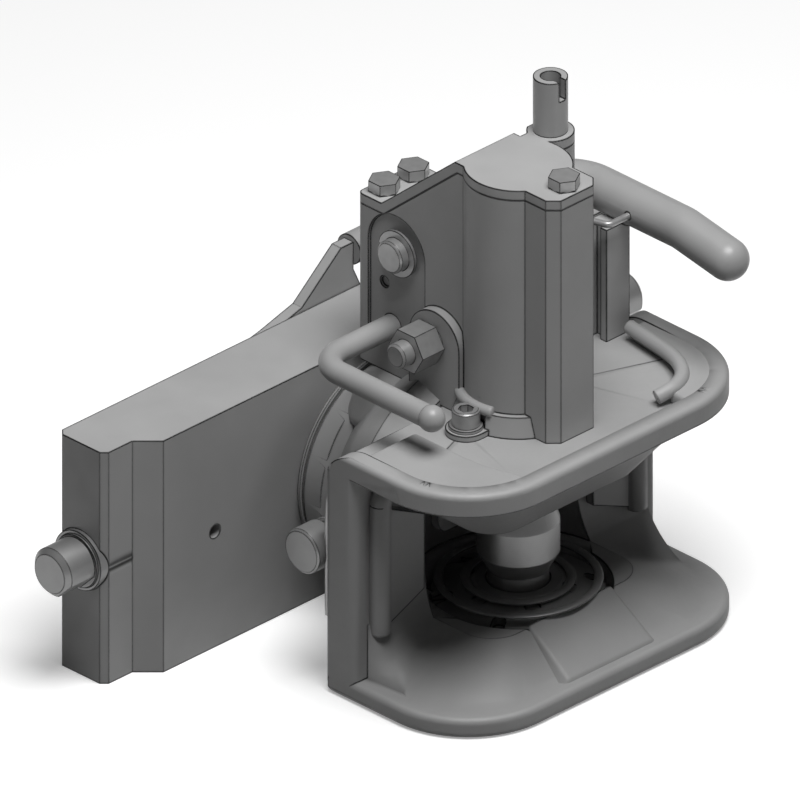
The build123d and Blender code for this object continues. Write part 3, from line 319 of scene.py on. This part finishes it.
# %% Helpers for new pieces
GROUND_MM = cad_box[0][2] / MM
DECK_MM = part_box("housing")[0][2] / MM
RIM_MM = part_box("jaw")[1][2] / MM
ALONG_X, ALONG_Y = (0, math.pi / 2, 0), (math.pi / 2, 0, 0)


def deselect_all():
    """Nothing selected, and no piece active in edit mode."""
    if bpy.context.object and bpy.context.object.mode != "OBJECT":
        bpy.ops.object.mode_set(mode="OBJECT")
    bpy.ops.object.select_all(action="DESELECT")


def pick(piece):
    """The piece alone selected, and active."""
    deselect_all()
    piece.select_set(True)
    bpy.context.view_layer.objects.active = piece


def named(name):
    """The piece just added, under its name and with its place in its mesh."""
    piece = bpy.context.active_object
    piece.name = name
    bpy.ops.object.transform_apply(location=True, rotation=True, scale=True)
    return piece


def pick_vertices(piece, test):
    """Edit mode, with only the vertices selected that pass the test."""
    bpy.ops.object.mode_set(mode="EDIT")
    bpy.ops.mesh.select_mode(type="VERT")
    bpy.ops.mesh.select_all(action="DESELECT")
    bpy.ops.object.mode_set(mode="OBJECT")
    for vertex in piece.data.vertices:
        vertex.select = test(vertex.co)
    bpy.ops.object.mode_set(mode="EDIT")


print("deck at", round(DECK_MM, 1), "mm, rim at", round(RIM_MM, 1), "mm")

# %% [markdown]
# Three jobs come back for many pieces. One piece is cut out of another with a Boolean
# modifier. A finished piece gets its normals, its rounded edges, its paint and the body that
# it moves with. And a bent bar is a line through given points with a round section, turned
# into a mesh.

# %% Helpers that cut, finish and sweep a piece
BEND_DEGREES = 35


def cut_away(piece, tool):
    """The tool's shape cut out of the piece, and the tool thrown away."""
    pick(piece)
    cut = piece.modifiers.new("cut", "BOOLEAN")
    cut.operation = "DIFFERENCE"
    cut.solver = "EXACT"
    cut.object = tool
    bpy.ops.object.modifier_apply(modifier="cut")
    bpy.data.objects.remove(tool)


def finish_piece(piece, material, body, bevel_mm=0.0, segments=3):
    """Normals outwards, edges rounded, shaded, painted, and riding on its body."""
    bpy.ops.object.mode_set(mode="EDIT")
    bpy.ops.mesh.select_all(action="SELECT")
    bpy.ops.mesh.remove_doubles(threshold=0.01 * MM)
    bpy.ops.mesh.normals_make_consistent(inside=False)
    bpy.ops.object.mode_set(mode="OBJECT")
    if bevel_mm:
        rounding = piece.modifiers.new("rounding", "BEVEL")
        rounding.width = bevel_mm * MM
        rounding.segments = segments
        rounding.limit_method = "ANGLE"
        bpy.ops.object.modifier_apply(modifier="rounding")
    bpy.ops.object.shade_smooth_by_angle(angle=math.radians(BEND_DEGREES))
    piece.data.materials.clear()
    piece.data.materials.append(material)
    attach(piece, body)
    print(piece.name, "has", len(piece.data.polygons), "faces")


def swept_bar(name, points_mm, radius_mm, material, body):
    """A round bar along a smooth line through the given points, with rounded ends."""
    deselect_all()
    bpy.ops.curve.primitive_nurbs_path_add(location=(0, 0, 0))
    line = bpy.context.active_object
    line.data.splines.clear()
    spline = line.data.splines.new("NURBS")
    spline.points.add(len(points_mm) - 1)
    for point, place_mm in zip(spline.points, points_mm):
        point.co = [c * MM for c in place_mm] + [1.0]
    spline.order_u = 3
    spline.use_endpoint_u = True
    spline.resolution_u = 8
    line.data.bevel_depth = radius_mm * MM
    line.data.bevel_resolution = 4
    line.data.use_fill_caps = True
    bpy.ops.object.convert(target="MESH")
    finish_piece(named(name), material, body, bevel_mm=radius_mm * 0.45)


print("tools ready")

# %% [markdown]
# The jaw is an iron casting, and its side is one continuous C: the upper rim turns down the
# wall's edge in a wide radius and turns forward again at the foot. The solid has square
# corners there, so each is cut with a rounding tool. The tool is a block less a cylinder,
# which leaves the round that a milling cutter would. The block stands a little proud of the
# corner, and the cylinder reaches out of it at both ends.

# %% Rounding tool for the jaw's corners
JAW_BACK_MM = -27.5
SIDE_FROM_MM, SIDE_TO_MM = 34.0, 99.0
PROUD_MM, REACH_MM = 2.0, 10


def corner_cutter(z_mm, down, side, radius_mm):
    """The part of a square corner outside its rounding, along one side of the jaw's back."""
    middle_y = side * (SIDE_FROM_MM + SIDE_TO_MM) / 2
    size_mm = radius_mm + PROUD_MM
    deselect_all()
    bpy.ops.mesh.primitive_cylinder_add(
        vertices=96, radius=radius_mm * MM, depth=(SIDE_TO_MM - SIDE_FROM_MM + REACH_MM) * MM,
        location=((JAW_BACK_MM + radius_mm) * MM, middle_y * MM,
                  (z_mm + down * radius_mm) * MM), rotation=ALONG_Y)
    round_tool = bpy.context.active_object
    deselect_all()
    bpy.ops.mesh.primitive_cube_add(
        size=1, location=((JAW_BACK_MM + (radius_mm - PROUD_MM) / 2) * MM, middle_y * MM,
                          (z_mm + down * (radius_mm - PROUD_MM) / 2) * MM),
        scale=(size_mm * MM, (SIDE_TO_MM - SIDE_FROM_MM) * MM, size_mm * MM))
    block = named("corner_block")
    cut_away(block, round_tool)
    return block


print("rounding tool ready, for a jaw whose back is at", JAW_BACK_MM, "mm")

# %% [markdown]
# The casting is a merged copy of the solid, cut at its four corners, and it then stands for
# the solid. Merging spoils the solid's exact normals, so normals weighted by face area take
# their place: the broad flat faces stay flat and the narrow fillets between them take up the
# turn.

# %% Rounded corners on the jaw casting
UPPER_CORNER_MM, LOWER_CORNER_MM = 19.0, 9.0
FILLET_DEGREES = 17

casting = bpy.data.objects.new("jaw_casting", nodes["jaw"].data.copy())
bpy.context.collection.objects.link(casting)
pick(casting)
bpy.ops.object.mode_set(mode="EDIT")
bpy.ops.mesh.select_all(action="SELECT")
bpy.ops.mesh.remove_doubles(threshold=0.001 * MM)
bpy.ops.object.mode_set(mode="OBJECT")
for corner_z, down, radius in ((RIM_MM, -1, UPPER_CORNER_MM), (GROUND_MM, 1, LOWER_CORNER_MM)):
    for side in (1, -1):
        cut_away(casting, corner_cutter(corner_z, down, side, radius))
bpy.ops.object.shade_smooth_by_angle(angle=math.radians(FILLET_DEGREES))
evened = casting.modifiers.new("even_shading", "WEIGHTED_NORMAL")
evened.weight = 100
evened.keep_sharp = True
bpy.ops.object.modifier_apply(modifier="even_shading")
casting.data.materials.clear()
casting.data.materials.append(casting_paint)
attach(casting, "jaw")
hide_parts("jaw")
print("jaw casting has", len(casting.data.polygons), "faces")

# %% [markdown]
# Beside the tower the upper lip is raised in two pads, almost level with the rim. Each starts
# as a filled circle whose points are pulled to the pad's outline: along its inner edge, round
# the lip's front corner and back along the rim. It is then extruded up from just under the
# deck, and its edge is rounded.

# %% Raised pads on the upper lip
CORNER_X_MM, CORNER_Y_MM, CORNER_R_MM = 19.0, 51.0, 40.5
RIGHT_EDGE = [(-9, 80), (10, 77.5), (24, 75), (34, 70.5), (41, 64), (44.5, 57), (45.5, 51)]
LEFT_EDGE = [(-9, 57), (6, 57), (22, 57), (34, 56), (42, 54), (48, 52), (52, 51)]
PAD_BACK_X_MM = RIGHT_EDGE[0][0]
PAD_TOP_MM = RIM_MM - 0.6
PAD_ROOT_MM = 0.5


def raised_pad(name, inner_edge, side):
    """A pad between an inner edge and the rim."""
    corner = [(CORNER_X_MM + CORNER_R_MM * math.cos(math.radians(a)),
               CORNER_Y_MM + CORNER_R_MM * math.sin(math.radians(a))) for a in range(0, 91, 6)]
    outline = inner_edge + corner + [(PAD_BACK_X_MM, CORNER_Y_MM + CORNER_R_MM)]
    deselect_all()
    bpy.ops.mesh.primitive_circle_add(vertices=len(outline), radius=MM, fill_type="NGON")
    pad = named(name)
    for vertex, (x, y) in zip(pad.data.vertices, outline):
        vertex.co = (x * MM, side * y * MM, (DECK_MM - PAD_ROOT_MM) * MM)
    bpy.ops.object.mode_set(mode="EDIT")
    bpy.ops.mesh.select_all(action="SELECT")
    bpy.ops.mesh.extrude_region_move(TRANSFORM_OT_translate={
        "value": (0, 0, (PAD_TOP_MM - DECK_MM + PAD_ROOT_MM) * MM)})
    bpy.ops.object.mode_set(mode="OBJECT")
    finish_piece(pad, casting_paint, "jaw", bevel_mm=2.2, segments=4)


raised_pad("right_pad", RIGHT_EDGE, 1)
raised_pad("left_pad", LEFT_EDGE, -1)

# %% [markdown]
# A rounded rib follows the right pad's inner edge and curls inwards at the front. It is a
# round bar, half sunk in the pad's edge, along a curve through that edge's own points.

# %% Rib beside the right pad
RIB_END = (43, 45, RIM_MM - 3.0)
RIB_RADIUS_MM = 3.5
swept_bar("pad_rib", [(x, y, PAD_TOP_MM) for x, y in RIGHT_EDGE] + [RIB_END], RIB_RADIUS_MM,
          casting_paint, "jaw")

# %% [markdown]
# The centring wings have a round bar along their outer edge. On the real jaw the bar doesn't
# stop at the top: it bends inwards under the upper lip, so that nothing catches on its end.

# %% Bent bars on the centring wings
WING_BAR_X_MM, WING_BAR_RADIUS_MM = -6.5, 5.3
WING_BAR_LINE = ((82, -22), (82, 0), (82, 30), (82, 45), (79.5, 51), (72, 53.5), (62, 53.5))
for side, word in ((1, "right"), (-1, "left")):
    swept_bar("wing_bar_" + word, [(WING_BAR_X_MM, side * y, z) for y, z in WING_BAR_LINE],
              WING_BAR_RADIUS_MM, casting_paint, "jaw")

# %% [markdown]
# A spring clip of round wire stands on the wall's back, beside the knob that it holds. It is
# bent like a hairpin: up one leg, over the top and down the shorter leg.

# %% Spring clip behind the wall
CLIP_X_MM, CLIP_RADIUS_MM = JAW_BACK_MM - 1.1, 1.5
CLIP_LINE = ((-93, -17), (-93.4, 0), (-93.4, 34), (-92.6, 45),
             (-89.5, 48.5), (-86.4, 45), (-85.6, 34), (-85.6, 27))
swept_bar("side_clip", [(CLIP_X_MM, y, z) for y, z in CLIP_LINE], CLIP_RADIUS_MM,
          bolt_metal, "jaw")

# %% [markdown]
# Behind the wall the casting gathers into the round neck that turns in the plate. It starts
# as a cone on the swivel's axis. Three cuts across it give rings of points, and each ring is
# scaled to the neck's radius there, which makes the outline swell like a bell. A last cut
# takes off what would reach below the ground face. It is bored out, because the jaw's throat
# and the trigger plate need that room.

# %% Neck behind the jaw
AXIS_Z_MM = (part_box("guide_plate")[0][2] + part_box("guide_plate")[1][2]) / 2 / MM
(START_X, START_R), (END_X, END_R) = (-70.0, 49.0), (-26.0, 66.0)
NECK_RINGS = [(-62.0, 56.5), (-52.0, 62.0), (-40.0, 65.2)]
NECK_FOOT_MM = GROUND_MM + 1
BORE_R_MM, BORE_LENGTH_MM, BORE_MIDDLE_MM = 45.5, 80, -48
deselect_all()
bpy.ops.mesh.primitive_cone_add(
    vertices=128, radius1=START_R * MM, radius2=END_R * MM, depth=(END_X - START_X) * MM,
    location=((START_X + END_X) / 2 * MM, 0, AXIS_Z_MM * MM), rotation=ALONG_X)
neck = named("neck_flare")
for ring_x, ring_radius in NECK_RINGS:
    bpy.ops.object.mode_set(mode="EDIT")
    bpy.ops.mesh.select_all(action="SELECT")
    bpy.ops.mesh.bisect(plane_co=(ring_x * MM, 0, 0), plane_no=(1, 0, 0))
    share = (ring_x - START_X) / (END_X - START_X)
    straight = START_R + share * (END_R - START_R)
    pick_vertices(neck, lambda co: abs(co.x - ring_x * MM) < 0.1 * MM)
    bpy.ops.transform.resize(value=(1, ring_radius / straight, ring_radius / straight),
                             center_override=(ring_x * MM, 0, AXIS_Z_MM * MM))
bpy.ops.mesh.select_all(action="SELECT")
bpy.ops.mesh.bisect(plane_co=(0, 0, NECK_FOOT_MM * MM), plane_no=(0, 0, 1),
                    clear_inner=True, use_fill=True)
deselect_all()
bpy.ops.mesh.primitive_cylinder_add(
    vertices=96, radius=BORE_R_MM * MM, depth=BORE_LENGTH_MM * MM,
    location=(BORE_MIDDLE_MM * MM, 0, AXIS_Z_MM * MM), rotation=ALONG_X)
cut_away(neck, bpy.context.active_object)
finish_piece(neck, casting_paint, "jaw")

# %% [markdown]
# Between the swivel's neck and the tower's foot the casting swells into a shoulder. It starts
# as a cube under the tower, its upper edges are drawn in, and a wide bevel rounds it.

# %% Shoulder under the tower
SHOULDER_BACK_MM, SHOULDER_FRONT_MM = -80.0, -20.0
SHOULDER_WIDTH_MM, SHOULDER_HEIGHT_MM = 76, 26
SHOULDER_Z_MM = DECK_MM - SHOULDER_HEIGHT_MM / 2
SHOULDER_TAPER = 0.7
deselect_all()
bpy.ops.mesh.primitive_cube_add(
    size=1, location=((SHOULDER_BACK_MM + SHOULDER_FRONT_MM) / 2 * MM, 0,
                      SHOULDER_Z_MM * MM),
    scale=((SHOULDER_FRONT_MM - SHOULDER_BACK_MM) * MM, SHOULDER_WIDTH_MM * MM,
           SHOULDER_HEIGHT_MM * MM))
shoulder = named("tower_shoulder")
pick_vertices(shoulder, lambda co: co.z > SHOULDER_Z_MM * MM)
bpy.ops.transform.resize(value=(1, SHOULDER_TAPER, 1), center_override=(0, 0, 0))
bpy.ops.object.mode_set(mode="OBJECT")
finish_piece(shoulder, casting_paint, "jaw", bevel_mm=9.0, segments=8)

# %% [markdown]
# The seat wears under the drawbar eye, so it is a ring of harder steel that can be changed.
# Two turned beads stand on it, one beside the pin's hole and one at its edge. Each is a
# torus, flattened to less than half of its height as a turning tool leaves it.

# %% Beads on the seat
SEAT_TOP_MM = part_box("seat")[1][2] / MM
SEAT_BEADS = (("inner", 24.0, 2.4), ("outer", 36.5, 2.2))
BEAD_FLATNESS = 0.45
for word, ring_mm, bead_mm in SEAT_BEADS:
    deselect_all()
    bpy.ops.mesh.primitive_torus_add(
        major_radius=ring_mm * MM, minor_radius=bead_mm * MM, major_segments=96,
        minor_segments=16, location=(0, 0, SEAT_TOP_MM * MM))
    bpy.ops.transform.resize(value=(1, 1, BEAD_FLATNESS),
                             center_override=(0, 0, SEAT_TOP_MM * MM))
    finish_piece(named("seat_bead_" + word), seat_metal, "jaw")

# %% [markdown]
# The front of the lower lip has a ramp that leads the drawbar eye up to the seat. It starts
# as a cube at its place. The back edge is pulled up to the plateau, and the sides are drawn
# in towards the top, which makes the two slanted facets beside it.

# %% Ramp on the lower lip
RAMP_LENGTH_MM, RAMP_WIDTH_MM, RAMP_THICK_MM = 27, 66, 5
RAMP_X_MM, RAMP_Z_MM = 46, GROUND_MM + 8.8
RAMP_RISE_MM, RAMP_TAPER = 18.5, 0.8
deselect_all()
bpy.ops.mesh.primitive_cube_add(
    size=1, location=(RAMP_X_MM * MM, 0, RAMP_Z_MM * MM),
    scale=(RAMP_LENGTH_MM * MM, RAMP_WIDTH_MM * MM, RAMP_THICK_MM * MM))
ramp = named("front_ramp")
pick_vertices(ramp, lambda co: co.z > RAMP_Z_MM * MM and co.x < RAMP_X_MM * MM)
bpy.ops.transform.translate(value=(0, 0, RAMP_RISE_MM * MM))
pick_vertices(ramp, lambda co: co.z > RAMP_Z_MM * MM)
bpy.ops.transform.resize(value=(1, RAMP_TAPER, 1), center_override=(0, 0, 0))
bpy.ops.object.mode_set(mode="OBJECT")
finish_piece(ramp, casting_paint, "jaw", bevel_mm=1.6)

# %% [markdown]
# A little above the deck, the casting has a thick bead round the barrel's foot. A ring
# section is spun round the barrel's axis through part of a turn, from one foot screw to the
# other.

# %% Bead round the barrel's foot
BEAD_TURN = math.radians(140)
BEAD_RADIUS_MM, BEAD_FROM_AXIS_MM, BEAD_Z_MM = 2.6, 27, DECK_MM + 11
deselect_all()
bpy.ops.mesh.primitive_circle_add(
    vertices=16, radius=BEAD_RADIUS_MM * MM, fill_type="NGON",
    location=(BEAD_FROM_AXIS_MM * MM, 0, BEAD_Z_MM * MM), rotation=ALONG_Y)
foot_bead = named("foot_bead")
bpy.ops.object.mode_set(mode="EDIT")
bpy.ops.mesh.select_all(action="SELECT")
bpy.ops.transform.rotate(value=BEAD_TURN / 2, orient_axis="Z", center_override=(0, 0, 0))
bpy.ops.mesh.spin(steps=36, angle=BEAD_TURN, center=(0, 0, 0), axis=(0, 0, 1))
bpy.ops.object.mode_set(mode="OBJECT")
finish_piece(foot_bead, casting_paint, "jaw", bevel_mm=1.1)

# %% [markdown]
# The hitch stands on a plain white floor, whose paint has two sides. The camera and
# reflections see it near white, with a little glow of its own that fills its shading up to
# white. The light that falls on it and goes back up meets a dark grey instead, so that the
# undersides stay dark, as in the drawing. The hitch's shadow shows in both.

# %% Floor
FLOOR_GAP_MM, FLOOR_SIZE, FLOOR_GLOW = 0.2, 6.0, 0.3

deselect_all()
bpy.ops.mesh.primitive_plane_add(size=FLOOR_SIZE,
                                 location=(0, 0, cad_box[0][2] - FLOOR_GAP_MM * MM))
floor = named("floor")
floor_paint, tree, shader = new_material("white_studio_floor")
shader.inputs["Roughness"].default_value = 0.9
shader.inputs["Emission Color"].default_value = linear("#ffffff")
path = add_node(tree, "ShaderNodeLightPath")
direct = add_node(tree, "ShaderNodeMath", {"operation": "MAXIMUM"},
                  {0: path.outputs["Is Camera Ray"], 1: path.outputs["Is Glossy Ray"]})
sheet = add_node(tree, "ShaderNodeMix", {"data_type": "RGBA"},
                 {"Factor": direct.outputs["Value"], MIX_A: linear("#484848"),
                  MIX_B: linear("#fafafa")})
glow = add_node(tree, "ShaderNodeMath", {"operation": "MULTIPLY"},
                {0: direct.outputs["Value"], 1: FLOOR_GLOW})
tree.links.new(sheet.outputs[MIX_RESULT], shader.inputs["Base Color"])
tree.links.new(glow.outputs["Value"], shader.inputs["Emission Strength"])
floor.data.materials.append(floor_paint)
print("floor laid")

# %% [markdown]
# The world is a dim grey fill for the object, and white for what the camera sees directly or
# through glass. One broad soft lamp hangs overhead, a little in front, so that the upward
# faces are pale and the sides stay dark, as in the drawing.

# %% World and lamp
FILL_STRENGTH = 0.05
LAMP_SIZE, LAMP_POWER = 1.0, 27.0
LAMP_OFFSET = Vector((0.4, -0.12, 1.5))
PICTURE_CENTRE = Vector((-75.7 * MM, 0, 38.6 * MM))

world = bpy.data.worlds.new("soft_studio")
bpy.context.scene.world = world
world.use_nodes = True
tree = world.node_tree
tree.nodes.clear()
path = add_node(tree, "ShaderNodeLightPath")
seen = add_node(tree, "ShaderNodeMath", {"operation": "MAXIMUM"},
                {0: path.outputs["Is Camera Ray"], 1: path.outputs["Is Transmission Ray"]})
fill, white = [add_node(tree, "ShaderNodeBackground", {},
                        {"Color": linear("#ffffff"), "Strength": strength})
               for strength in (FILL_STRENGTH, 1.0)]
both = add_node(tree, "ShaderNodeMixShader", {},
                {"Fac": seen.outputs["Value"], 1: fill.outputs[0], 2: white.outputs[0]})
add_node(tree, "ShaderNodeOutputWorld", inputs={"Surface": both.outputs[0]})

lamp_data = bpy.data.lights.new("overhead_softbox", "AREA")
lamp_data.shape = "DISK"
lamp_data.size = LAMP_SIZE
lamp_data.energy = LAMP_POWER
lamp = bpy.data.objects.new("overhead_softbox", lamp_data)
bpy.context.collection.objects.link(lamp)
lamp.location = PICTURE_CENTRE + LAMP_OFFSET
lamp.rotation_euler = (PICTURE_CENTRE - lamp.location).to_track_quat("-Z", "Y").to_euler()
print("lamp of", LAMP_POWER, "W at", [round(c, 2) for c in lamp.location])

# %% [markdown]
# The picture is a parallel projection, as drawing programs make it: two edges that are
# parallel on the part stay parallel on paper. The camera is therefore orthographic, and it
# looks along the drawing's own direction.

# %% Camera
AZIMUTH, ELEVATION = math.radians(45), math.radians(29.3)
FRAME_WIDTH_MM = 362
CAMERA_DISTANCE = 1.5

camera_data = bpy.data.cameras.new("drawing_view")
camera_data.type = "ORTHO"
camera_data.ortho_scale = FRAME_WIDTH_MM * MM
camera_data.clip_end = 10
camera = bpy.data.objects.new("drawing_view", camera_data)
bpy.context.collection.objects.link(camera)
away = Vector((math.cos(ELEVATION) * math.sin(AZIMUTH),
               -math.cos(ELEVATION) * math.cos(AZIMUTH), math.sin(ELEVATION)))
camera.location = PICTURE_CENTRE + away * CAMERA_DISTANCE
camera.rotation_euler = (-away).to_track_quat("-Z", "Y").to_euler()
bpy.context.scene.camera = camera
bpy.context.scene.view_settings.view_transform = "Standard"
print("camera frames", FRAME_WIDTH_MM, "mm")
